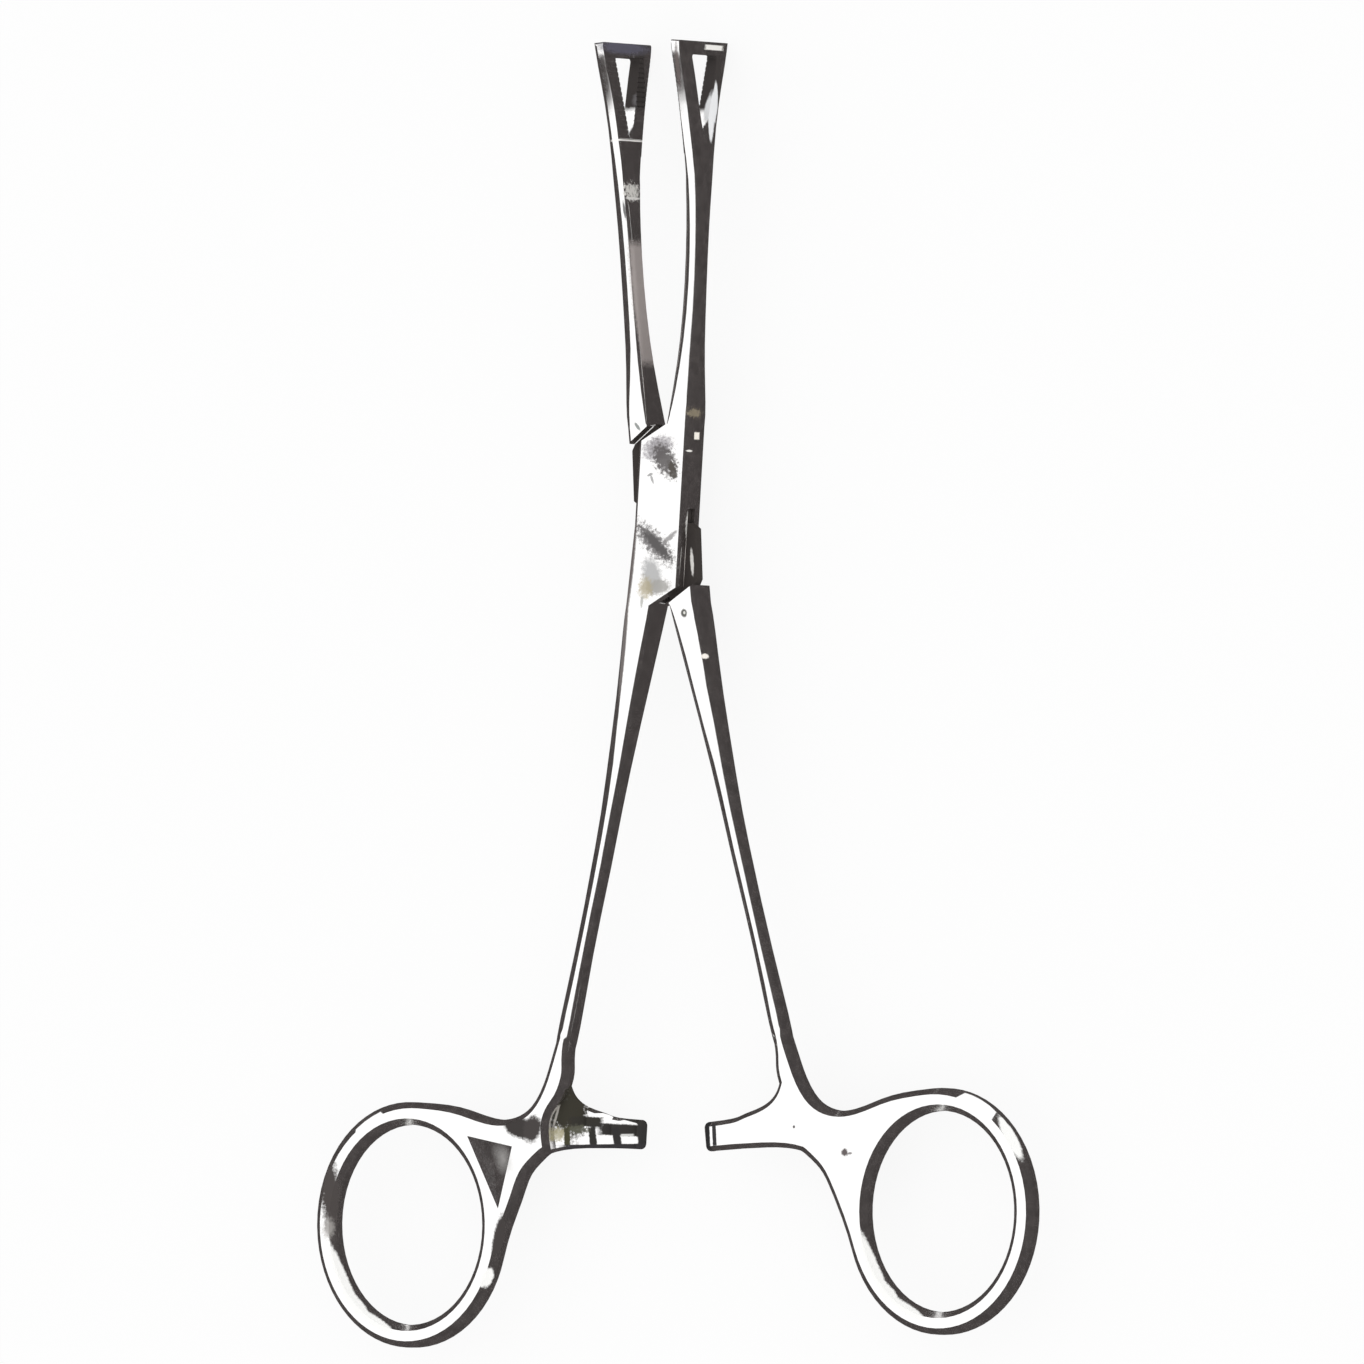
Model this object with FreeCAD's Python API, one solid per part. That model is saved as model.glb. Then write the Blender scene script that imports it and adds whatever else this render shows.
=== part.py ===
"""Pennington tissue forceps, box-lock pattern, about 155 mm long.

Frame: the pivot axis is Z and the forceps lie flat in the XY plane. +Y runs towards the jaw tips,
+X is to the right with the jaws away from the viewer, and z = 0 is the lower face of the box.
Both halves are modelled in the closed pose, with the jaw tips meeting on the plane x = 0 and z
measured from mid-thickness. At the end each half is turned about the pivot to the pose in which
the forceps are lying, which is a little open, and lifted to the frame's height.
All sizes are in millimetres and angles in degrees.
"""
import FreeCAD, Part
import math
import os
from collections import namedtuple

Vector = FreeCAD.Vector

# Pose
rest_half_angle = 4.6

# Box lock
box_half_width = 3.15
box_thickness = 5.0
box_edge_round = 0.5
box_inner_break = 0.15
box_heel_swell = 0.55
shoulder_height = 8.35
shoulder_angle = 34.0
shoulder_gap = 0.35
arm_parting = 0.475
tongue_thickness = 1.6
tongue_clearance = 0.04
tongue_flank_reach = 0.75
tongue_flank_taper = 0.35
boss_radius = 2.8
boss_wall_angle = 15.0
tongue_step_height = 1.3
slot_mouth_height = 0.9
pin_radius = 1.4
pin_running_clearance = 0.03

# Sections across the arms. Each has its inner face, its thickness across, its depth in Z and the
# rounding of its inner and outer corners.
Section = namedtuple("Section", "inner thickness depth inner_round outer_round")
corner_flats = 3

# Jaw arms, by share of the way from the box to the neck
jaw_reach = 56.3
neck_drop = 16.0
arm_sections = [
    (0.110, Section(0.60, 2.68, 4.65, 0.65, 0.80)),
    (0.264, Section(0.83, 2.39, 3.80, 0.80, 1.05)),
    (0.452, Section(0.95, 2.24, 3.15, 0.85, 1.15)),
    (0.657, Section(0.91, 2.15, 3.00, 0.85, 1.10)),
    (0.846, Section(0.82, 2.05, 3.45, 0.75, 1.05)),
    (1.000, Section(0.72, 1.90, 4.45, 0.60, 0.95)),
]

# Jaws, by share of the way from the neck to the tip
jaw_width = 12.6
jaw_tip_thickness = 1.3
jaw_corner_radius = 0.3
jaw_sections = [
    (0.281, Section(0.56, 1.56, 6.10, 0.30, 0.65)),
    (0.625, Section(0.30, 1.42, 8.95, 0.15, 0.60)),
    (0.844, Section(0.14, 1.34, 11.30, 0.12, 0.55)),
    (1.000, Section(0.02, jaw_tip_thickness, jaw_width, 0.12, 0.50)),
]

# Jaw window and gripping pad
window_top_bar = 1.6
window_leg_width = 2.6
window_apex_drop = 12.1
window_corner_radius = 0.35
pad_length = 13.4
pad_relief_depth = 0.16
pad_relief_run = 5.0
pad_smooth_tip = 1.7
pad_groove_pitch = 0.57
pad_groove_depth = 0.1

# Shanks, by share of the way from the box to the handle
shank_length = 49.2
shank_sections = [
    (0.065, Section(0.75, 3.44, 4.60, 0.70, 0.85)),
    (0.167, Section(1.55, 3.06, 4.15, 0.80, 1.05)),
    (0.309, Section(2.70, 2.59, 3.50, 0.85, 1.15)),
    (0.492, Section(4.10, 2.12, 2.85, 0.85, 1.10)),
    (0.675, Section(5.47, 1.95, 2.60, 0.80, 1.00)),
    (0.848, Section(6.86, 1.87, 2.60, 0.80, 0.95)),
    (1.000, Section(7.93, 2.07, 2.86, 0.80, 1.00)),
    (1.122, Section(9.15, 1.45, 2.40, 0.50, 0.50)),
]

# Web between shank and ring. Its free edges run through points measured from the corners of the
# handle's top, from the places where the edges meet the ring and from the ratchet's place. The
# step is the wall on its inner side where the ratchet arm begins.
handle_top_inner = 8.05
handle_top_width = 1.72
handle_depth = 2.8
handle_edge_break = 0.74
web_outer_from_top = [(1.2, -5.3), (2.2, -8.7), (4.05, -11.6)]
web_outer_from_ring = [(-12.2, -1.4), (-7.3, -0.6)]
web_inner_from_ring = [(-1.05, 4.25), (-2.25, 7.85)]
web_below_step = [(13.3, -7.2), (11.9, -5.55)]
step_corner = (10.3, -4.4)
step_wall = [(10.75, -2.4), (10.75, -0.8), (10.2, 0.6), (9.35, 1.9)]
web_inner_from_top = [(0.5, -7.6)]

# Finger ring
ring_inner_side = 17.6
ring_highest = 12.75
ring_half_width = 11.1
ring_half_length = 13.25
ring_tilt = 5.0
ring_bar = 2.7
ring_web_side_angle = 108.0
ring_web_top_angle = 4.0

# Three-sided hollow in the web beside the ring, its points in shares of the ring's half width and
# half length from the ring's centre
hollow_depth = 0.85
hollow_rim = [(-0.667, 0.83), (-1.216, 0.762), (-1.09, 0.196)]
hollow_deepest = (-0.955, 0.611)

# Ratchet arms, each with its own distance below the handle's top
ratchet_reach = 1.6
female_ratchet_drop = 11.8
male_ratchet_drop = 12.3
ratchet_width = 3.5
ratchet_parting = 0.05
ratchet_thickness = 1.35
ratchet_tooth_pitch = 3.4
ratchet_tooth_height = 0.75
ratchet_tooth_count = 3
ratchet_crest = 1.0
ratchet_corner_radius = 0.7
ratchet_outer_break = 0.6
ratchet_inner_break = 0.35
ratchet_root = (12.4, -1.5)
ratchet_upper_run = [(9.5, 5.2), (8.35, 2.6), (6.75, 1.3), (4.0, 0.5)]
ratchet_lower_run = [(5.0, -3.7), (9.4, -4.2), (11.8, -5.0), (14.2, -6.6)]


def point(x, y, z=0.0):
    return Vector(x, y, z)


def line(start, end):
    return Part.LineSegment(start, end).toShape()


def spline(points, start_tangent=None, end_tangent=None):
    """Smooth edge through the points, with end directions where a neighbour needs them."""
    curve = Part.BSplineCurve()
    if start_tangent is None:
        curve.interpolate(points)
    else:
        curve.interpolate(points, InitialTangent=start_tangent, FinalTangent=end_tangent)
    return curve.toShape()


def prism(edges, depth, centre_z=0.0):
    """Solid of a closed outline in the XY plane, centred on centre_z."""
    face = Part.Face(Part.Wire(edges))
    face.translate(Vector(0, 0, centre_z - depth / 2))
    return face.extrude(Vector(0, 0, depth))


def polygon_prism(corners, depth, centre_z=0.0):
    loop = corners + corners[:1]
    edges = [line(loop[i], loop[i + 1]) for i in range(len(corners))]
    return prism(edges, depth, centre_z)


def mirrored(shape):
    return shape.mirror(Vector(0, 0, 0), Vector(1, 0, 0))


def half_turned(shape):
    turned = shape.copy()
    turned.rotate(Vector(0, 0, 0), Vector(0, 0, 1), 180)
    return turned


def section_wire(section, along):
    """Rectangle across an arm, each corner rounded off by a few narrow flats."""
    left = section.inner
    right = section.inner + section.thickness
    top = section.depth / 2
    inner_round = section.inner_round
    outer_round = section.outer_round
    corners = [
        (right - outer_round, top - outer_round, 0, outer_round),
        (left + inner_round, top - inner_round, 90, inner_round),
        (left + inner_round, inner_round - top, 180, inner_round),
        (right - outer_round, outer_round - top, 270, outer_round),
    ]
    points = []
    for centre_x, centre_z, first_angle, radius in corners:
        for step in range(corner_flats + 1):
            angle = math.radians(first_angle + 90 * step / corner_flats)
            x = centre_x + radius * math.cos(angle)
            z = centre_z + radius * math.sin(angle)
            points.append(Vector(x, along, z))
    return Part.makePolygon(points + points[:1])


def lofted(stations):
    """Solid through the sections, each given with its distance along Y."""
    return Part.makeLoft([section_wire(section, along) for along, section in stations], True, False)


def between(start, end, sections):
    """The sections of a run, their shares of the way made distances along Y."""
    return [(start + share * (end - start), section) for share, section in sections]


def shoulder_y(x, gap=0.0):
    """Height of the slanted shoulder line at x, with the left box corner as its low end."""
    slope = math.radians(shoulder_angle)
    return shoulder_height + gap / math.cos(slope) + (x + box_half_width) * math.tan(slope)


arm_root = shoulder_y(arm_parting)
heel_half_width = box_half_width + box_heel_swell
neck_y = jaw_reach - neck_drop
handle_top = -arm_root - shank_length


def box_section(half_width):
    """Section where an arm grows out of the box, flush with the box on all sides but the inner."""
    thickness = half_width - arm_parting
    return Section(arm_parting, thickness, box_thickness, box_inner_break, box_edge_round)


def jaw_slope():
    """How fast the jaw's inner face leans in towards the tip."""
    neck_share, neck = jaw_sections[0]
    run = (1 - neck_share) * neck_drop
    return (jaw_sections[-1][1].inner - neck.inner) / run


def jaw_face_x(y):
    """Inner face of the right jaw at height y."""
    return jaw_sections[-1][1].inner - jaw_slope() * (jaw_reach - y)


def jaw_flare():
    """How fast each outer edge of the jaw spreads in Z towards the tip."""
    neck_share, neck = jaw_sections[0]
    return (jaw_width - neck.depth) / 2 / ((1 - neck_share) * neck_drop)


def jaw_corner():
    """What is taken off one tip corner of a jaw to round it, all through the jaw's thickness."""
    r = jaw_corner_radius
    corner = Vector(0, jaw_reach, jaw_width / 2)
    slant = math.atan(jaw_flare())
    tangent_length = r / math.tan((math.pi / 2 - slant) / 2)
    on_tip = corner - Vector(0, 0, tangent_length)
    on_side = corner - Vector(0, math.cos(slant), math.sin(slant)) * tangent_length
    centre = on_tip - Vector(0, r, 0)
    middle = centre + (corner - centre).normalize() * r
    far = [on_tip + Vector(0, r, 0), corner + Vector(0, r, r), Vector(0, on_side.y, corner.z + r)]
    edges = [Part.Arc(on_side, middle, on_tip).toShape(), line(on_tip, far[0]), line(far[0], far[1])]
    edges += [line(far[1], far[2]), line(far[2], on_side)]
    face = Part.Face(Part.Wire(edges))
    face.translate(Vector(-box_half_width, 0, 0))
    return face.extrude(Vector(3 * box_half_width, 0, 0))


def jaw_window():
    """Triangular opening through one jaw, its sides parallel to the jaw's outer edges."""
    top = jaw_reach - window_top_bar
    apex = jaw_reach - window_apex_drop
    half_top = jaw_width / 2 - jaw_flare() * window_top_bar - window_leg_width
    corners = [Vector(0, top, half_top), Vector(0, apex, 0), Vector(0, top, -half_top)]
    loop = corners + corners[:1]
    face = Part.Face(Part.Wire([line(loop[i], loop[i + 1]) for i in range(3)]))
    face.translate(Vector(-box_half_width, 0, 0))
    solid = face.extrude(Vector(3 * box_half_width, 0, 0))
    upright = [e for e in solid.Edges if abs(e.tangentAt(e.FirstParameter).x) > 0.99]
    return solid.makeFillet(window_corner_radius, upright)


def pad_relief():
    """The arm's inner face drops back behind the gripping pad and runs out towards the neck."""
    end = jaw_reach - pad_length
    run_out = end - pad_relief_run
    middle = (end + run_out) / 2
    corners = [
        Vector(-arm_parting, end, 0),
        Vector(jaw_face_x(end) + pad_relief_depth, end, 0),
        Vector(jaw_face_x(middle) + pad_relief_depth, middle, 0),
        Vector(jaw_face_x(run_out) - pad_relief_depth, run_out, 0),
        Vector(-arm_parting, run_out, 0),
    ]
    return polygon_prism(corners, jaw_width)


def pad_grooves():
    """Fine V grooves across the gripping pad, below its smooth tip."""
    count = int((pad_length - pad_smooth_tip) / pad_groove_pitch)
    grooves = []
    for number in range(count):
        y = jaw_reach - pad_smooth_tip - number * pad_groove_pitch
        face_x = jaw_face_x(y)
        corners = [
            point(face_x - pad_groove_depth, y + 2 * pad_groove_depth),
            point(face_x - pad_groove_depth, y - 2 * pad_groove_depth),
            point(face_x + pad_groove_depth, y),
        ]
        grooves.append(polygon_prism(corners, jaw_width))
    return grooves


def jaw_arm():
    """Right jaw arm above the box: bowed arm, neck and flat windowed jaw with its grooved pad."""
    stations = [(arm_root, box_section(box_half_width))]
    stations += between(arm_root, neck_y, arm_sections)
    stations += between(neck_y, jaw_reach, jaw_sections)
    arm = lofted(stations).cut([jaw_window(), pad_relief()])
    return arm.cut(pad_grooves() + [jaw_corner(), upside_down(jaw_corner())])


def shank():
    """Right shank from below the box down into the top of the handle."""
    stations = [(-arm_root, box_section(heel_half_width))]
    stations += between(-arm_root, handle_top, shank_sections)
    return lofted(stations)


def ring_centre():
    return point(ring_inner_side + ring_half_width, handle_top - ring_highest - ring_half_length)


def ring_ellipse(half_width, half_length):
    """Ellipse of the finger ring, its long axis tilted out at the top."""
    tilt = math.radians(90 - ring_tilt)
    centre = ring_centre()
    along = Vector(math.cos(tilt), math.sin(tilt), 0)
    across = Vector(-math.sin(tilt), math.cos(tilt), 0)
    return Part.Ellipse(centre + along * half_length, centre + across * half_width, centre)


def beside(corner, offsets):
    return [corner + point(x, y) for x, y in offsets]


def handle_plate(drop):
    """Finger ring with the web that flows into the shank, from one flat outline."""
    half_bar = ring_bar / 2
    outer = ring_ellipse(ring_half_width + half_bar, ring_half_length + half_bar)
    opening = ring_ellipse(ring_half_width - half_bar, ring_half_length - half_bar)
    side_angle = math.radians(ring_web_side_angle)
    top_angle = math.radians(360 + ring_web_top_angle)
    ring_side = outer.value(side_angle)
    ring_top = outer.value(top_angle)
    inner_top = point(handle_top_inner, handle_top)
    outer_top = point(handle_top_inner + handle_top_width, handle_top)
    down_shank = Vector(0.16, -1, 0)
    ratchet_start = point(0, handle_top - drop)
    outer_edge = [outer_top] + beside(outer_top, web_outer_from_top)
    outer_edge += beside(ring_top, web_outer_from_ring) + [ring_top]
    lower_edge = [ring_side] + beside(ring_side, web_inner_from_ring)
    lower_edge += beside(ratchet_start, web_below_step + [step_corner])
    upper_edge = beside(ratchet_start, [step_corner] + step_wall)
    upper_edge += beside(inner_top, web_inner_from_top) + [inner_top]
    edges = [
        line(inner_top, outer_top),
        spline(outer_edge, down_shank, outer.tangent(top_angle)[0] * -1),
        Part.ArcOfEllipse(outer, side_angle, top_angle).toShape(),
        spline(lower_edge, outer.tangent(side_angle)[0] * -1, Vector(-1, 0.3, 0)),
        spline(upper_edge, Vector(0.3, 1, 0), down_shank * -1),
    ]
    plate = prism(edges, handle_depth)
    plate = plate.cut(prism([opening.toShape()], 2 * handle_depth))
    rims = [e for e in plate.Edges if lies_on_face(e) and not is_top_edge(e)]
    return plate.makeChamfer(handle_edge_break, rims).cut(web_hollow())


def web_hollow():
    """Three-sided pyramid, point down, that hollows the web's front face beside the ring."""
    surface = handle_depth / 2
    stretch = 1 + surface / hollow_depth
    tip = ring_centre() + Vector(
        hollow_deepest[0] * ring_half_width, hollow_deepest[1] * ring_half_length, surface - hollow_depth
    )
    base = []
    for across, along in hollow_rim:
        corner = ring_centre() + Vector(across * ring_half_width, along * ring_half_length, surface)
        base.append(tip + (corner - tip) * stretch)
    triangles = [base] + [[tip, base[i], base[(i + 1) % 3]] for i in range(3)]
    faces = [Part.Face(Part.makePolygon(corners + corners[:1])) for corners in triangles]
    solid = Part.Solid(Part.makeShell(faces))
    if solid.Volume < 0:
        solid.reverse()
    return solid


def lies_on_face(edge):
    """True for an edge that lies in the front or the back face of the handle plate."""
    box = edge.BoundBox
    return box.ZLength < 0.001 and abs(abs(box.Center.z) - handle_depth / 2) < 0.001


def is_top_edge(edge):
    box = edge.BoundBox
    return box.YLength < 0.001 and abs(box.Center.y - handle_top) < 0.001


def ratchet_outline(drop):
    """Edges of the ratchet arm seen from the front, its root buried in the handle's web."""
    r = ratchet_corner_radius
    short = r * (1 - math.sqrt(0.5))
    tip = -ratchet_reach
    upper = handle_top - drop
    lower = upper - ratchet_width
    start = point(0, upper)
    root = beside(start, [ratchet_root])[0]
    top_run = beside(start, ratchet_upper_run) + [point(tip + r, upper)]
    low_run = [point(tip + r, lower)] + beside(start, ratchet_lower_run)
    return [
        line(root, top_run[0]),
        spline(top_run, Vector(-0.5, -1, 0), Vector(-1, 0, 0)),
        Part.Arc(top_run[-1], point(tip + short, upper - short), point(tip, upper - r)).toShape(),
        line(point(tip, upper - r), point(tip, lower + r)),
        Part.Arc(point(tip, lower + r), point(tip + short, lower + short), low_run[0]).toShape(),
        spline(low_run, Vector(1, 0, 0), Vector(1, -1, 0)),
        line(low_run[-1], root),
    ]


def ratchet_arm(drop):
    """Lower-half ratchet arm of a right handle, with saw teeth on its upper face."""
    face_z = -ratchet_parting
    outer_z = face_z - ratchet_thickness
    arm = prism(ratchet_outline(drop), ratchet_thickness, (face_z + outer_z) / 2)
    for level, size in ((face_z, ratchet_inner_break), (outer_z, ratchet_outer_break)):
        arm = arm.makeChamfer(size, [e for e in arm.Edges if is_ratchet_rim(e, level)])
    root_z = face_z - ratchet_tooth_height
    for number in range(ratchet_tooth_count):
        crest = -ratchet_reach + ratchet_crest + number * ratchet_tooth_pitch
        foot = crest + ratchet_tooth_pitch - ratchet_crest
        gash = [
            Vector(crest, 0, -face_z),
            Vector(crest, 0, root_z),
            Vector(foot, 0, face_z),
            Vector(foot, 0, -face_z),
        ]
        loop = gash + gash[:1]
        face = Part.Face(Part.Wire([line(loop[i], loop[i + 1]) for i in range(len(gash))]))
        face.translate(Vector(0, handle_top - drop - 2 * ratchet_width, 0))
        arm = arm.cut(face.extrude(Vector(0, 3 * ratchet_width, 0)))
    return arm


def is_ratchet_rim(edge, level):
    """True for an edge of the ratchet's free outline that lies in the face at this level."""
    box = edge.BoundBox
    in_face = box.ZLength < 0.001 and abs(box.Center.z - level) < 0.001
    return in_face and box.XMin < ratchet_upper_run[0][0] - 0.001


def handle(drop):
    """Right handle: shank, ring and a ratchet arm at the back, the given drop below its top."""
    return shank().fuse([handle_plate(drop), ratchet_arm(drop)])


def slot_wing(wall_gap, edge_y, reach_x, top_y):
    """Upper left part of the tongue or of its slot: left of the wall, above edge_y."""
    angle = math.radians(boss_wall_angle)
    normal = Vector(math.cos(angle), math.sin(angle), 0)
    along_wall = Vector(-math.sin(angle), math.cos(angle), 0)
    foot = normal * (boss_radius + wall_gap)
    wall_top = foot + along_wall * ((top_y - foot.y) / along_wall.y)
    return [point(0, 0), foot, wall_top, point(reach_x, top_y), point(reach_x, edge_y), point(0, edge_y)]


def tongue_shape(wall_gap, edge_y, reach_x, top_y, thickness):
    """Disc about the pivot with a wing up to the left and its half turn down to the right."""
    boss = Part.makeCylinder(boss_radius + wall_gap, thickness, Vector(0, 0, -thickness / 2))
    wing = polygon_prism(slot_wing(wall_gap, edge_y, reach_x, top_y), thickness)
    return boss.fuse([wing, half_turned(wing)])


def box_block():
    """Solid box with slanted shoulders, before its slot is cut, on the half whose jaw is at right."""
    low = -shoulder_height
    swell_start = -pin_radius
    corners = [
        point(-box_half_width, shoulder_height),
        point(arm_parting, arm_root),
        point(box_half_width, arm_root),
        point(box_half_width, low),
        point(-arm_parting, -arm_root),
        point(-heel_half_width, -arm_root),
        point(-box_half_width, swell_start),
    ]
    block = polygon_prism(corners, box_thickness)
    rims = [e for e in block.Edges if e.BoundBox.ZLength < 0.001 and is_flank(e)]
    return block.makeFillet(box_edge_round, rims)


def is_flank(edge):
    """True for the long edges down the box's sides, which run on into the edges of the arms."""
    box = edge.BoundBox
    return box.YLength > box.XLength and abs(box.Center.x) > box_half_width / 2


def pivot_bore(radius):
    return Part.makeCylinder(radius, 2 * box_thickness, Vector(0, 0, -box_thickness))


def female_half():
    """Box half: right jaw, slotted box and left handle in one forging."""
    slot = tongue_shape(
        tongue_clearance, -slot_mouth_height, -3 * box_half_width, arm_root + box_thickness,
        tongue_thickness + 2 * tongue_clearance,
    )
    body = box_block().cut(slot)
    left_handle = mirrored(handle(female_ratchet_drop))
    body = body.fuse([jaw_arm(), left_handle])
    return body.cut(pivot_bore(pin_radius)).removeSplitter()


def arm_heel(outer_half_width):
    """Wedge between the slanted shoulder and the root of the male half's left jaw arm."""
    gap = shoulder_gap
    corners = [
        point(-outer_half_width, shoulder_y(-box_half_width, gap)),
        point(-arm_parting, shoulder_y(-arm_parting, gap)),
        point(-arm_parting, arm_root),
        point(-outer_half_width, arm_root),
    ]
    wedge = polygon_prism(corners, box_thickness)
    rims = [e for e in wedge.Edges if e.BoundBox.ZLength < 0.001 and is_outer_rim(e)]
    return wedge.makeFillet(box_edge_round, rims)


def is_outer_rim(edge):
    box = edge.BoundBox
    return box.XLength < 0.001 and abs(box.Center.x) > box_half_width / 2


def tongue_flank():
    """Strip along the tongue's upper left side that stands out of the box as the jaws open."""
    inner = -box_half_width + tongue_clearance
    foot = -box_half_width - tongue_flank_reach
    head = foot + tongue_flank_taper
    top = shoulder_y(-box_half_width, shoulder_gap)
    corners = [
        point(inner, tongue_step_height),
        point(foot, tongue_step_height + tongue_flank_reach),
        point(head, top - tongue_flank_reach),
        point(inner, top),
    ]
    return polygon_prism(corners, tongue_thickness)


def male_half():
    """Tongue half: left jaw, thin tongue through the box and right handle in one forging."""
    tongue = tongue_shape(0, tongue_step_height, -box_half_width, arm_root, tongue_thickness)
    flanks = [tongue_flank(), half_turned(tongue_flank())]
    left_heel = arm_heel(box_half_width)
    right_heel = half_turned(arm_heel(heel_half_width))
    right_handle = upside_down(handle(male_ratchet_drop))
    body = tongue.fuse(flanks + [left_heel, right_heel, mirrored(jaw_arm()), right_handle])
    return body.cut(pivot_bore(pin_radius + pin_running_clearance)).removeSplitter()


def upside_down(shape):
    return shape.mirror(Vector(0, 0, 0), Vector(0, 0, 1))


def pivot_pin():
    """Plain pin riveted and ground flush with both cheeks of the box."""
    return Part.makeCylinder(pin_radius, box_thickness, Vector(0, 0, -box_thickness / 2))


def placed(shape, half_angle):
    shape = shape.copy()
    shape.rotate(Vector(0, 0, 0), Vector(0, 0, 1), half_angle)
    shape.translate(Vector(0, 0, box_thickness / 2))
    return shape


nodes = {
    "female_half": placed(female_half(), -rest_half_angle),
    "male_half": placed(male_half(), rest_half_angle),
    "pivot_pin": placed(pivot_pin(), -rest_half_angle),
}
os.makedirs("parts", exist_ok=True)
for name, shape in nodes.items():
    solids = shape.Solids
    print(name, "solids", len(solids), "valid", shape.isValid(), "volume", round(shape.Volume, 1))
    shape.exportStep(os.path.join("parts", name + ".step"))
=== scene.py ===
import math
from collections import namedtuple

import bmesh
import bpy
from mathutils import Matrix, Vector


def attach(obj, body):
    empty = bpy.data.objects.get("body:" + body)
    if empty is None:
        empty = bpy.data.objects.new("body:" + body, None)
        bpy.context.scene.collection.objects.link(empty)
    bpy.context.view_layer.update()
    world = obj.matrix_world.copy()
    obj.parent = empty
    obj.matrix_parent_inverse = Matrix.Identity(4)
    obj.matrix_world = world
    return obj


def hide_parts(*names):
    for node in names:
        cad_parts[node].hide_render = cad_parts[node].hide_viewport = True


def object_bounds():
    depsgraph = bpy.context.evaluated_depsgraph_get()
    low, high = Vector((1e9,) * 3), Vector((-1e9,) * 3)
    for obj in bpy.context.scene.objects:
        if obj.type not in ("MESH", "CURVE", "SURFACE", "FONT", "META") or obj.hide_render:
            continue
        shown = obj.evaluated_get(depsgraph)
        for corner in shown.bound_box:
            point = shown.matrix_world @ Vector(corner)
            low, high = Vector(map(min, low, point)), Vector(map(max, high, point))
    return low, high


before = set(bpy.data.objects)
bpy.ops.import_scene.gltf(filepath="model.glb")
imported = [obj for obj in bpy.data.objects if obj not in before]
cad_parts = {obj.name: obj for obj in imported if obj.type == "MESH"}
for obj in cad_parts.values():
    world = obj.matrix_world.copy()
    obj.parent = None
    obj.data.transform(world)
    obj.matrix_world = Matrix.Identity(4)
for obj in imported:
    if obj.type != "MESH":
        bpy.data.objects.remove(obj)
cad_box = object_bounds()


# The box half: right jaw, slotted box and left handle, drop-forged in one piece of stainless
# steel, machined in the slot, and polished to a mirror all over. It carries the pivot pin.

mm_per_metre = 1000
steel_tone = (0.86, 0.855, 0.85, 1.0)
polish_gloss = 0.07
scratch_scale = 6000.0
scratch_detail = 3.0
scratch_range = (0.35, 0.7)
scratch_gloss = 2.2
wave_scale = 260.0
wave_detail = 2.0
wave_strength = 0.25
wave_depth = 0.0001
haze_scale = 900.0
haze_detail = 6.0
haze_breakup = 0.7
haze_range = (0.38, 0.72)
haze_tone = (0.42, 0.37, 0.36, 1.0)
haze_most = 0.10
mark_border_scale = 2600.0
mark_border_detail = 4.0
mark_border_breakup = 0.65

rest_half_angle = math.radians(4.6)
merge_reach = 0.000002
flat_bend = math.radians(0.3)
corner_bend = 38
groove_bend = 10
hollow_bend = 7
pad_zone_start = 0.041
pad_zone_depth = 0.0006
hollow_zone = ((-0.0235, -0.0850), (-0.0145, -0.0735))
large_face_weight = 50

# A mark is a dull film on the polish. Its centre and its half sizes are in millimetres, and its turn
# is in degrees about its own upright axis. Jag and soft make its border ragged and soft, and strength
# is how much of the steel it hides. Later marks lie over earlier ones. The painted reflections look
# right from the photograph's angle and in its light only, because they stay where they are.

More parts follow.
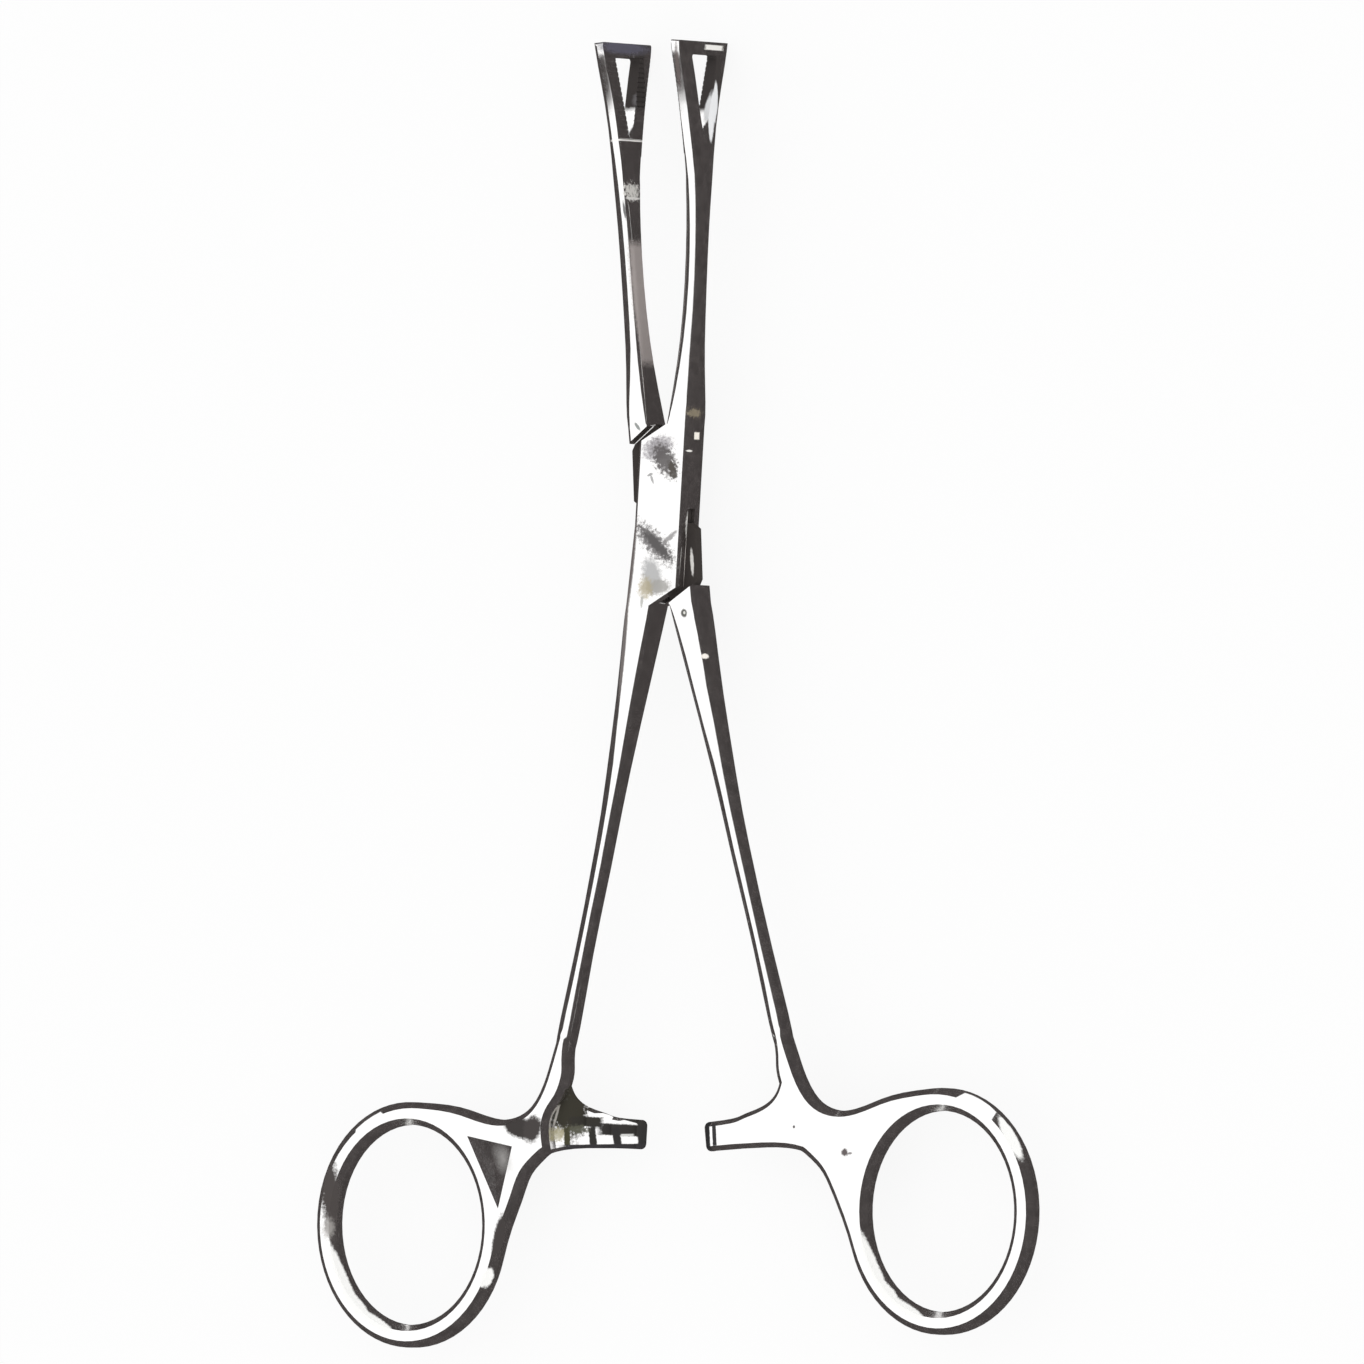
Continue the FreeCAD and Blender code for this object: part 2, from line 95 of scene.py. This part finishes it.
Mark = namedtuple("Mark", "shape centre size turn jag soft tone strength")
box_half_marks = [
    # Smudges on the front of the box, above and below the pivot.
    Mark("oval", (0.15, 7.9, 5.0), (2.0, 1.3, 0.5), 18, 1.6, 0.25, (0.42, 0.40, 0.42), 0.9),
    Mark("oval", (1.0, 6.5, 5.0), (1.3, 2.1, 0.5), 32, 2.4, 0.30, (0.13, 0.12, 0.12), 0.95),
    Mark("oval", (2.1, 5.2, 5.0), (0.55, 1.2, 0.5), 12, 2.0, 0.25, (0.10, 0.09, 0.08), 0.95),
    Mark("oval", (-0.95, 4.75, 5.0), (0.42, 0.16, 0.5), 20, 1.2, 0.15, (0.30, 0.30, 0.30), 0.8),
    Mark("oval", (-0.70, 4.20, 5.0), (0.16, 0.50, 0.5), 20, 1.2, 0.15, (0.34, 0.34, 0.34), 0.8),
    Mark("oval", (-0.5, -3.4, 5.0), (3.3, 1.15, 0.5), -44, 2.6, 0.30, (0.22, 0.21, 0.21), 0.95),
    Mark("oval", (-0.2, -3.6, 5.0), (2.4, 0.6, 0.5), -44, 1.8, 0.30, (0.11, 0.105, 0.105), 0.9),
    Mark("oval", (1.5, -2.8, 5.0), (1.2, 0.30, 0.5), 38, 1.8, 0.30, (0.30, 0.29, 0.29), 0.85),
    Mark("oval", (-0.9, -7.2, 5.0), (1.2, 2.1, 0.5), 12, 1.2, 0.30, (0.46, 0.46, 0.46), 0.9),
    Mark("oval", (-0.2, -8.6, 5.0), (1.7, 0.85, 0.5), 5, 1.6, 0.30, (0.40, 0.39, 0.37), 0.9),
    Mark("oval", (-1.8, -8.7, 5.0), (0.9, 1.2, 0.5), 0, 1.8, 0.35, (0.46, 0.40, 0.26), 0.75),
    Mark("oval", (-2.3, -10.3, 5.0), (0.2, 0.65, 0.5), -8, 1.0, 0.25, (0.45, 0.45, 0.42), 0.8),
    # Painted reflections: bright spots and streaks on the right flank of the box; the yellowish haze is
    # dirt.
    Mark("bar", (3.91, 9.28, 2.2), (0.4, 0.42, 0.65), 0, 0.3, 0.15, (1.0, 0.95, 0.86), 1.0),
    Mark("oval", (3.76, 7.46, 3.9), (0.4, 0.13, 0.75), 0, 0.4, 0.20, (0.95, 0.93, 0.88), 0.9),
    Mark("oval", (4.12, 12.0, 3.2), (0.4, 0.6, 1.4), 0, 3.2, 0.30, (0.40, 0.34, 0.23), 0.55),
    Mark("oval", (3.05, -1.3, 2.9), (0.45, 1.7, 0.85), -4, 0.9, 0.20, (0.75, 0.73, 0.70), 0.9),
    Mark("oval", (2.72, -5.4, 3.35), (0.45, 2.9, 0.13), -4, 0.4, 0.30, (0.80, 0.74, 0.70), 0.9),
    # Painted reflections: the dark edge down the left of the box and the top of the shank.
    Mark("oval", (-3.66, -6.18, 4.8), (5.6, 0.36, 0.9), -97.7, 0.5, 0.25, (0.15, 0.13, 0.125), 0.95),
    Mark("oval", (-5.05, -15.93, 4.8), (6.4, 0.32, 0.9), -98.1, 0.5, 0.25, (0.19, 0.17, 0.165), 0.95),
    # Painted reflections: dark frame of the right jaw's window, bright lens below it and bright tip.
    Mark("bar", (4.83, 51.35, 0.1), (1.3, 3.5, 1.75), -4.6, 0.2, 0.10, (0.06, 0.053, 0.051), 1.0),
    Mark("oval", (5.50, 49.2, -0.35), (0.6, 2.2, 0.55), -4.6, 0.2, 0.12, (0.90, 0.91, 0.92), 1.0),
    Mark("oval", (5.44, 48.1, 0.15), (0.6, 2.3, 0.75), -4.6, 0.2, 0.12, (0.90, 0.91, 0.92), 1.0),
    Mark("oval", (5.38, 46.6, 0.85), (0.6, 3.1, 0.85), -4.6, 0.2, 0.12, (0.90, 0.91, 0.92), 1.0),
    Mark("oval", (5.28, 45.2, 1.0), (0.6, 1.9, 0.6), -4.6, 0.2, 0.12, (0.90, 0.91, 0.92), 1.0),
    Mark("oval", (4.95, 52.4, 8.3), (0.28, 3.2, 1.4), -4.6, 0.8, 0.30, (0.15, 0.125, 0.12), 0.9),
    Mark("bar", (5.76, 55.38, 0.1), (0.5, 0.30, 2.2), -4.6, 0.5, 0.15, (0.92, 0.90, 0.86), 1.0),
    # Dirt in the root of the ratchet arm, and painted shade with dirt between its teeth.
    Mark("oval", (-14.6, -70.4, 2.1), (3.0, 3.3, 0.7), 0, 1.2, 0.20, (0.05, 0.046, 0.036), 1.0),
    Mark("oval", (-15.9, -70.6, 2.1), (0.16, 2.2, 0.9), -18, 0.7, 0.30, (0.55, 0.52, 0.48), 0.9),
    Mark("oval", (-15.8, -73.1, 2.1), (1.2, 0.8, 0.9), 0, 2.2, 0.30, (0.50, 0.46, 0.30), 0.8),
    # Painted shade of the steep tooth faces, with dirt in the pockets: dark bars between teeth and along
    # the lower edge.
    Mark("bar", (-12.1, -71.7, 2.1), (2.1, 0.58, 0.7), -3, 0.5, 0.12, (0.045, 0.042, 0.036), 1.0),
    Mark("bar", (-7.2, -72.8, 2.1), (3.2, 0.70, 0.7), -4, 0.4, 0.12, (0.045, 0.042, 0.040), 1.0),
    Mark("bar", (-14.6, -73.4, 2.1), (0.38, 1.25, 0.7), 0, 0.8, 0.15, (0.07, 0.066, 0.04), 1.0),
    Mark("bar", (-11.2, -73.5, 2.1), (0.46, 1.3, 0.7), 6, 0.7, 0.15, (0.04, 0.038, 0.035), 1.0),
    Mark("bar", (-7.95, -73.7, 2.1), (0.5, 1.2, 0.7), 9, 0.5, 0.15, (0.04, 0.038, 0.038), 1.0),
    Mark("bar", (-4.5, -73.4, 2.1), (0.62, 1.8, 0.7), 0, 0.4, 0.15, (0.04, 0.038, 0.038), 1.0),
    Mark("bar", (-9.6, -74.75, 2.1), (5.6, 0.34, 0.9), -0.5, 0.3, 0.15, (0.045, 0.042, 0.045), 1.0),
    Mark("oval", (-13.1, -72.6, 2.1), (1.3, 0.5, 0.9), 0, 3.0, 0.30, (0.12, 0.12, 0.09), 0.9),
    Mark("bar", (-6.7, -73.42, 2.1), (0.73, 0.16, 0.9), 0, 0.3, 0.15, (0.75, 0.75, 0.73), 0.9),
    Mark("bar", (-10.9, -69.65, 2.1), (3.2, 0.30, 0.9), -29, 0.3, 0.15, (0.045, 0.042, 0.040), 1.0),
    Mark("bar", (-7.3, -71.2, 2.1), (2.9, 0.30, 0.9), -17, 0.3, 0.15, (0.045, 0.042, 0.040), 1.0),
    # Painted reflections: dark patches on the web and the left ring, pale breaks in its dark bands.
    Mark("oval", (-20.3, -72.2, 3.9), (2.0, 1.2, 0.5), -18, 0.6, 0.15, (0.06, 0.054, 0.052), 1.0),
    Mark("oval", (-18.5, -72.4, 3.8), (1.2, 1.6, 0.6), -20, 0.8, 0.20, (0.075, 0.067, 0.065), 1.0),
    Mark("oval", (-22.5, -75.9, 3.4), (1.0, 1.5, 0.6), 25, 0.6, 0.70, (0.36, 0.35, 0.34), 0.8),
    Mark("oval", (-45.7, -79.6, 3.9), (1.3, 4.6, 1.4), 5, 1.2, 0.30, (0.085, 0.075, 0.072), 1.0),
    Mark("oval", (-46.0, -83.6, 3.9), (0.7, 1.1, 0.6), 0, 1.8, 0.50, (0.42, 0.40, 0.38), 0.8),
    Mark("oval", (-23.1, -85.6, 4.2), (0.9, 3.3, 1.2), -12, 0.5, 0.15, (0.07, 0.062, 0.06), 1.0),
    Mark("oval", (-24.85, -90.0, 3.9), (0.75, 1.3, 0.9), -27, 0.6, 0.15, (1.0, 1.0, 0.98), 1.0),
    Mark("oval", (-44.1, -89.9, 4.0), (0.7, 5.0, 0.9), 24, 0.5, 0.15, (1.0, 1.0, 0.98), 1.0),
    Mark("oval", (-42.3, -92.7, 4.0), (0.65, 2.2, 0.9), 41, 0.5, 0.15, (1.0, 1.0, 0.98), 1.0),
    Mark("oval", (-39.9, -94.8, 4.0), (0.6, 2.8, 0.9), 58, 0.5, 0.15, (1.0, 1.0, 0.98), 1.0),
]


def maths(tree, operation, *values):
    """One step of arithmetic on plain numbers and on what other nodes give."""
    step = tree.nodes.new("ShaderNodeMath")
    step.operation = operation
    for socket, value in zip(step.inputs, values):
        if isinstance(value, (int, float)):
            socket.default_value = value
        else:
            tree.links.new(value, socket)
    return step.outputs["Value"]


def rescaled(tree, value, span, low, high):
    """A value, stretched so that from one end of span to the other it goes from low to high."""
    start, end = span
    stretch = tree.nodes.new("ShaderNodeMapRange")
    stretch.inputs["From Min"].default_value = start
    stretch.inputs["From Max"].default_value = end
    stretch.inputs["To Min"].default_value = low
    stretch.inputs["To Max"].default_value = high
    tree.links.new(value, stretch.inputs["Value"])
    return stretch.outputs["Result"]


def unevenness(tree, place, scale, detail, breakup=0.5):
    """Cloudy variation over the piece, finer for a larger scale and crisper for a larger breakup."""
    clouds = tree.nodes.new("ShaderNodeTexNoise")
    clouds.inputs["Scale"].default_value = scale
    clouds.inputs["Detail"].default_value = detail
    clouds.inputs["Roughness"].default_value = breakup
    tree.links.new(place, clouds.inputs["Vector"])
    return clouds.outputs["Fac"]


def laid_over(tree, cover, below, above):
    """One surface over another, hiding as much of it as cover says."""
    layers = tree.nodes.new("ShaderNodeMixShader")
    tree.links.new(cover, layers.inputs["Fac"])
    tree.links.new(below, layers.inputs[1])
    tree.links.new(above, layers.inputs[2])
    return layers.outputs["Shader"]


def matt_layer(tree, tone):
    """A matt layer of one colour, for dirt, haze, painted shade and painted reflections."""
    film = tree.nodes.new("ShaderNodeBsdfDiffuse")
    film.inputs["Color"].default_value = tone
    return film.outputs["BSDF"]


def finished_surface(tree):
    """The socket that takes a material's last layer."""
    return tree.nodes["Material Output"].inputs["Surface"]


def polished_steel(name):
    """Mirror-polished stainless steel with the faint waves, fine scratches and haze of hand polishing."""
    material = bpy.data.materials.new(name)
    material.use_nodes = True
    tree = material.node_tree
    place = tree.nodes.new("ShaderNodeTexCoord").outputs["Object"]
    steel = tree.nodes["Principled BSDF"]
    steel.inputs["Base Color"].default_value = steel_tone
    steel.inputs["Metallic"].default_value = 1.0

    scratches = unevenness(tree, place, scratch_scale, scratch_detail)
    gloss = rescaled(tree, scratches, scratch_range, polish_gloss, polish_gloss * scratch_gloss)
    tree.links.new(gloss, steel.inputs["Roughness"])

    waves = tree.nodes.new("ShaderNodeBump")
    waves.inputs["Strength"].default_value = wave_strength
    waves.inputs["Distance"].default_value = wave_depth
    tree.links.new(unevenness(tree, place, wave_scale, wave_detail), waves.inputs["Height"])
    tree.links.new(waves.outputs["Normal"], steel.inputs["Normal"])

    smears = unevenness(tree, place, haze_scale, haze_detail, haze_breakup)
    haze = rescaled(tree, smears, haze_range, 0.0, haze_most)
    hazed = laid_over(tree, haze, steel.outputs["BSDF"], matt_layer(tree, haze_tone))
    tree.links.new(hazed, finished_surface(tree))
    return material


def mark_distance(tree, place, mark):
    """How far each point is from the middle of a mark, as a share of the mark's half size."""
    lay = tree.nodes.new("ShaderNodeMapping")
    lay.vector_type = "TEXTURE"
    lay.inputs["Location"].default_value = [value / mm_per_metre for value in mark.centre]
    lay.inputs["Rotation"].default_value = (0, 0, math.radians(mark.turn))
    lay.inputs["Scale"].default_value = [value / mm_per_metre for value in mark.size]
    tree.links.new(place, lay.inputs["Vector"])
    reach = tree.nodes.new("ShaderNodeVectorMath")
    reach.operation = "LENGTH" if mark.shape == "oval" else "ABSOLUTE"
    tree.links.new(lay.outputs["Vector"], reach.inputs["Vector"])
    if mark.shape == "oval":
        return reach.outputs["Value"]
    sides = tree.nodes.new("ShaderNodeSeparateXYZ")
    tree.links.new(reach.outputs["Vector"], sides.inputs["Vector"])
    across = maths(tree, "MAXIMUM", sides.outputs["X"], sides.outputs["Y"])
    return maths(tree, "MAXIMUM", across, sides.outputs["Z"])


def add_marks(material, marks):
    """Dirt, scuffs, painted shade and painted reflections on the polish, each laid over the one before.
    """
    tree = material.node_tree
    place = tree.nodes.new("ShaderNodeTexCoord").outputs["Object"]
    rough = unevenness(tree, place, mark_border_scale, mark_border_detail, mark_border_breakup)
    surface = finished_surface(tree).links[0].from_socket
    for mark in marks:
        ragged = maths(tree, "MULTIPLY_ADD", rough, mark.jag, mark_distance(tree, place, mark))
        middle = 1 + mark.jag / 2
        border = (middle + mark.soft, middle - mark.soft)
        cover = rescaled(tree, ragged, border, 0.0, mark.strength)
        surface = laid_over(tree, cover, surface, matt_layer(tree, (*mark.tone, 1.0)))
    tree.links.new(surface, finished_surface(tree))


def closed_place(spot, turn):
    """A point of a half, turned back about the pivot to where it is with the jaws closed."""
    x = spot.x * math.cos(turn) - spot.y * math.sin(turn)
    y = spot.x * math.sin(turn) + spot.y * math.cos(turn)
    return x, y


def is_crisp(edge, turn):
    """True for corners, and for the shallower creases of the grooved pad and the hollow by the ring."""
    bend = math.degrees(edge.calc_face_angle(0.0))
    middle = (edge.verts[0].co + edge.verts[1].co) / 2
    x, y = closed_place(middle, turn)
    on_pad = y > pad_zone_start and abs(x) < pad_zone_depth
    (left, low), (right, high) = hollow_zone
    in_hollow = left < -abs(x) < right and low < y < high
    return bend > corner_bend or (on_pad and bend > groove_bend) or (in_hollow and bend > hollow_bend)


def merged_copy(node, name, turn):
    """Copy of a forging with its facets joined up, so that its rounded edges shade smoothly."""
    bpy.ops.object.select_all(action="DESELECT")
    piece = bpy.data.objects.new(name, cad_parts[node].data.copy())
    bpy.context.scene.collection.objects.link(piece)
    piece.data.materials.clear()
    piece.select_set(True)
    bpy.context.view_layer.objects.active = piece
    bpy.ops.object.mode_set(mode="EDIT")
    bpy.ops.mesh.select_all(action="SELECT")
    bpy.ops.mesh.remove_doubles(threshold=merge_reach)
    bpy.ops.mesh.dissolve_limited(angle_limit=flat_bend)
    bpy.ops.object.mode_set(mode="OBJECT")
    bpy.ops.mesh.customdata_custom_splitnormals_clear()
    bpy.ops.object.shade_smooth()
    creases = bmesh.new()
    creases.from_mesh(piece.data)
    for edge in creases.edges:
        edge.smooth = not is_crisp(edge, turn)
    creases.to_mesh(piece.data)
    creases.free()
    weight = piece.modifiers.new("weighted", "WEIGHTED_NORMAL")
    weight.keep_sharp = True
    weight.mode = "FACE_AREA"
    weight.weight = large_face_weight
    bpy.ops.object.modifier_apply(modifier=weight.name)
    return piece


box_half_steel = polished_steel("polished steel of the box half")
add_marks(box_half_steel, box_half_marks)

box_half = merged_copy("female_half", "box_half_forging", rest_half_angle)
box_half.data.materials.append(box_half_steel)
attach(box_half, "box_half")
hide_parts("female_half")


# The tongue half: left jaw, thin tongue and right handle, forged and polished like the box half.
# Its tongue runs slantwise through the slot in the box and turns on the pin. Inside the slot it is
# painted dark: painted shade where the cheeks shut out the light, over a dull machined face.

# Tone of the tongue between the cheeks: painted shade over a dull machined face.
tongue_shade_tone = (0.055, 0.048, 0.045, 1.0)
tongue_slant = 0.798
tongue_half_length = 0.0115
tongue_level = 0.0025
tongue_half_thickness = 0.00082

tongue_half_marks = [
    # A pit below the box, a nick above it and specks on the web by the right ring.
    Mark("oval", (3.28, -11.8, 5.0), (0.42, 0.48, 0.6), 0, 0.4, 0.20, (0.10, 0.10, 0.09), 0.95),
    Mark("oval", (3.33, -11.75, 5.0), (0.15, 0.18, 0.6), 0, 0.3, 0.20, (0.8, 0.8, 0.75), 1.0),
    Mark("oval", (-2.55, 10.5, 5.0), (0.55, 0.2, 0.6), -52, 0.8, 0.20, (0.30, 0.32, 0.31), 0.95),
    Mark("oval", (16.5, -73.0, 3.9), (0.16, 0.18, 0.6), 0, 0.5, 0.20, (0.14, 0.13, 0.13), 0.95),
    Mark("oval", (23.2, -76.2, 3.9), (0.42, 0.42, 0.6), 20, 1.8, 0.30, (0.10, 0.08, 0.08), 0.95),
    Mark("oval", (23.9, -76.3, 3.9), (0.32, 0.14, 0.6), 0, 1.2, 0.30, (0.3, 0.28, 0.28), 0.95),
    # Painted reflections: spots, lines and haze on the right flanks of shank, box end and jaw arm.
    Mark("oval", (5.75, -16.95, 4.3), (0.5, 0.30, 0.65), 0, 0.4, 0.25, (1.0, 0.95, 0.88), 1.0),
    Mark("oval", (-3.83, 38.6, 3.2), (0.40, 0.9, 1.9), 0, 4.0, 0.30, (0.8, 0.78, 0.74), 0.9),
    Mark("oval", (-3.78, 37.7, 2.9), (0.40, 0.16, 2.0), 0, 0.5, 0.25, (0.85, 0.83, 0.80), 0.9),
    Mark("oval", (-4.3, 36.3, 4.1), (0.16, 1.1, 0.5), 6, 1.0, 0.30, (0.12, 0.12, 0.12), 0.9),
    Mark("bar", (-4.0, 44.6, 3.4), (1.2, 0.10, 4.5), 4.6, 0.2, 0.30, (1.0, 0.98, 0.95), 1.0),
    Mark("oval", (3.61, -5.69, 3.3), (0.22, 1.5, 0.3), 3, 0.8, 0.20, (0.85, 0.83, 0.80), 0.95),
    Mark("bar", (-3.0, 25.2, 2.05), (0.7, 7.2, 1.85), 5, 0.15, 0.08, (0.42, 0.375, 0.36), 0.9),
    # Painted reflections: pale breaks in the right ring's dark bands, dark edge at its upper right.
    Mark("oval", (45.0, -74.5, 3.7), (0.7, 3.4, 0.9), 28, 0.4, 0.15, (1.0, 1.0, 0.98), 1.0),
    Mark("oval", (26.9, -89.9, 4.0), (0.7, 4.8, 0.9), 24, 0.5, 0.15, (1.0, 1.0, 0.98), 1.0),
    Mark("oval", (28.7, -92.7, 4.0), (0.65, 2.2, 0.9), 41, 0.5, 0.15, (1.0, 1.0, 0.98), 1.0),
    Mark("oval", (31.1, -94.8, 4.0), (0.6, 2.8, 0.9), 58, 0.5, 0.15, (1.0, 1.0, 0.98), 1.0),
    Mark("bar", (42.2, -71.0, 2.2), (2.6, 2.4, 0.85), 0, 0.1, 0.08, (0.07, 0.062, 0.06), 1.0),
    # Painted reflections: dark frame of the left jaw's window, bright below it, dark at the tip.
    Mark("bar", (-4.75, 51.6, 0.1), (1.3, 3.2, 1.75), 4.6, 0.2, 0.10, (0.06, 0.053, 0.051), 1.0),
    Mark("oval", (-4.10, 46.9, 2.6), (0.7, 2.1, 0.7), 4.6, 0.2, 0.12, (0.90, 0.91, 0.92), 1.0),
    Mark("oval", (-4.35, 51.8, 0.9), (0.8, 2.6, 0.30), 4.6, 0.8, 0.40, (0.42, 0.41, 0.43), 0.6),
    Mark("oval", (-4.6, 55.6, 3.2), (1.0, 0.75, 6.0), 4.6, 0.8, 0.35, (0.13, 0.125, 0.165), 0.9),
    # Painted reflections: two dark lines across the tip of the ratchet arm.
    Mark("bar", (4.9, -73.7, 3.9), (0.36, 1.75, 0.6), 2, 0.4, 0.15, (0.03, 0.029, 0.03), 1.0),
    Mark("bar", (5.85, -73.75, 3.9), (0.26, 1.35, 0.6), 2, 0.4, 0.15, (0.05, 0.048, 0.05), 1.0),
]


def darken_tongue(material):
    """Painted shade over the dull machined tongue, between the slanted shoulders and between its two flat
    faces.
    """
    tree = material.node_tree
    place = tree.nodes.new("ShaderNodeTexCoord").outputs["Object"]
    slanted = tree.nodes.new("ShaderNodeVectorMath")
    slanted.operation = "DOT_PRODUCT"
    slanted.inputs[1].default_value = (-tongue_slant, 1.0, 0.0)
    tree.links.new(place, slanted.inputs[0])
    spot = tree.nodes.new("ShaderNodeSeparateXYZ")
    tree.links.new(place, spot.inputs["Vector"])
    lengthwise = maths(tree, "COMPARE", slanted.outputs["Value"], 0.0, tongue_half_length)
    upright = maths(tree, "COMPARE", spot.outputs["Z"], tongue_level, tongue_half_thickness)
    on_tongue = maths(tree, "MULTIPLY", lengthwise, upright)
    surface = finished_surface(tree)
    polish = surface.links[0].from_socket
    tree.links.new(laid_over(tree, on_tongue, polish, matt_layer(tree, tongue_shade_tone)), surface)


tongue_half_steel = polished_steel("polished steel of the tongue half")
darken_tongue(tongue_half_steel)
add_marks(tongue_half_steel, tongue_half_marks)

tongue_half = merged_copy("male_half", "tongue_half_forging", -rest_half_angle)
tongue_half.data.materials.append(tongue_half_steel)
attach(tongue_half, "tongue_half")
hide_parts("male_half")


# The pivot pin: plain stainless rod, riveted at both ends and ground flush with the cheeks, so
# that only a hairline ring shows.

pin_steel = polished_steel("pin steel")
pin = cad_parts["pivot_pin"]
pin.data.materials.clear()
pin.data.materials.append(pin_steel)


# The white table that the forceps lie on, with their jaw corners touching it. For the camera alone
# most of its white is its own glow, so it is even up to the edges and their shadow on it is faint.
# Polished steel doesn't mirror it.

table_size = 6.0
table_tone = (0.9, 0.9, 0.9, 1.0)
table_roughness = 0.8
table_glow = 0.88
white = (1.0, 1.0, 1.0, 1.0)

bpy.ops.object.select_all(action="DESELECT")
bpy.ops.mesh.primitive_plane_add(size=table_size, location=(0, 0, cad_box[0][2]))
table = bpy.context.object
table.name = "white_table"
table_white = bpy.data.materials.new("white table")
table_white.use_nodes = True
table_tree = table_white.node_tree
table_top = table_tree.nodes["Principled BSDF"]
table_top.inputs["Base Color"].default_value = table_tone
table_top.inputs["Roughness"].default_value = table_roughness
table_top.inputs["Specular IOR Level"].default_value = 0.0
glow = table_tree.nodes.new("ShaderNodeEmission")
glow.inputs["Color"].default_value = white
glow.inputs["Strength"].default_value = 1.0
table_rays = table_tree.nodes.new("ShaderNodeLightPath")
seen = maths(table_tree, "MULTIPLY", table_rays.outputs["Is Camera Ray"], table_glow)
glowing_top = laid_over(table_tree, seen, table_top.outputs["BSDF"], glow.outputs["Emission"])
table_tree.links.new(glowing_top, finished_surface(table_tree))
table.data.materials.append(table_white)
table.visible_glossy = False


# Studio light: an even white sky for dull surfaces. Polished steel mirrors a dark room, and a softbox
# overhead, set towards the upper left, that is brighter than the sky, so that its fronts clip to
# white. The softbox's edges are in degrees from straight up.

softbox_level = 1.3
softbox_left = 43.0
softbox_right = 22.0
softbox_up = 62.0
softbox_down = 26.0
softbox_fade = 7.0
room_tone = (0.058, 0.051, 0.05, 1.0)

world = bpy.data.worlds.new("studio")
bpy.context.scene.world = world
world.use_nodes = True
sky = world.node_tree
direction = sky.nodes.new("ShaderNodeSeparateXYZ")
sky.links.new(sky.nodes.new("ShaderNodeTexCoord").outputs["Generated"], direction.inputs["Vector"])


def degrees_from_up(side):
    """How far the direction looked at leans from straight up towards one side, in degrees."""
    lean = maths(sky, "ARCTAN2", direction.outputs[side], direction.outputs["Z"])
    return maths(sky, "MULTIPLY", lean, math.degrees(1.0))


def softbox_edge(lean, limit, sign):
    """1 inside an edge of the softbox and 0 beyond it, with a soft border."""
    edge = sky.nodes.new("ShaderNodeMapRange")
    edge.interpolation_type = "SMOOTHSTEP"
    edge.inputs["From Min"].default_value = sign * (limit + softbox_fade)
    edge.inputs["From Max"].default_value = sign * limit
    sky.links.new(lean, edge.inputs["Value"])
    return edge.outputs["Result"]


def sky_blend(share, first, second):
    """A mix of two colours of the sky."""
    blend = sky.nodes.new("ShaderNodeMixRGB")
    for socket, colour in zip((blend.inputs["Color1"], blend.inputs["Color2"]), (first, second)):
        if isinstance(colour, tuple):
            socket.default_value = colour
        else:
            sky.links.new(colour, socket)
    sky.links.new(share, blend.inputs["Fac"])
    return blend.outputs["Color"]


lean_to_right = degrees_from_up("X")
lean_to_jaws = degrees_from_up("Y")
softbox = maths(
    sky,
    "MULTIPLY",
    softbox_edge(lean_to_right, softbox_left, -1.0),
    softbox_edge(lean_to_right, softbox_right, 1.0),
)
softbox = maths(sky, "MULTIPLY", softbox, softbox_edge(lean_to_jaws, softbox_up, 1.0))
softbox = maths(sky, "MULTIPLY", softbox, softbox_edge(lean_to_jaws, softbox_down, -1.0))
mirrored = sky_blend(softbox, room_tone, (softbox_level, softbox_level, softbox_level, 1.0))
sky_rays = sky.nodes.new("ShaderNodeLightPath")
seen_sky = sky_blend(sky_rays.outputs["Is Glossy Ray"], white, mirrored)
sky.links.new(seen_sky, sky.nodes["Background"].inputs["Color"])


# Camera: very long lens, leaning towards the right-hand side of the forceps and a little towards
# the handles, as in the photograph.

picture_pixels = 1364
pixels_per_mm = 8.432
pivot_in_picture = (667.5, 515.0)
lean_right = math.radians(27.5)
lean_down = math.radians(1.9)
roll = math.radians(0.78)
distance = 6.0
box_mid_height = 0.0025
sensor_width = 36.0
clip_far = 50.0

view_from = Vector((
    math.sin(lean_right) * math.cos(lean_down),
    -math.sin(lean_down),
    math.cos(lean_right) * math.cos(lean_down),
))
level_right = Vector((math.cos(lean_right), 0, -math.sin(lean_right)))
level_up = view_from.cross(level_right)
camera_up = level_up * math.cos(roll) + level_right * math.sin(roll)
camera_right = level_right * math.cos(roll) - level_up * math.sin(roll)
frame_width = picture_pixels / pixels_per_mm / mm_per_metre
off_right = (picture_pixels / 2 - pivot_in_picture[0]) / pixels_per_mm / mm_per_metre
off_down = (picture_pixels / 2 - pivot_in_picture[1]) / pixels_per_mm / mm_per_metre
looked_at = Vector((0, 0, box_mid_height)) + camera_right * off_right - camera_up * off_down

camera_data = bpy.data.cameras.new("camera")
camera = bpy.data.objects.new("camera", camera_data)
bpy.context.scene.collection.objects.link(camera)
camera_data.sensor_fit = "HORIZONTAL"
camera_data.sensor_width = sensor_width
camera_data.lens = sensor_width * distance / frame_width
camera_data.clip_end = clip_far
camera.matrix_world = Matrix.Translation(looked_at + view_from * distance) @ Matrix(
    (camera_right, camera_up, view_from)
).transposed().to_4x4()
bpy.context.scene.camera = camera
bpy.context.scene.view_settings.view_transform = "Standard"
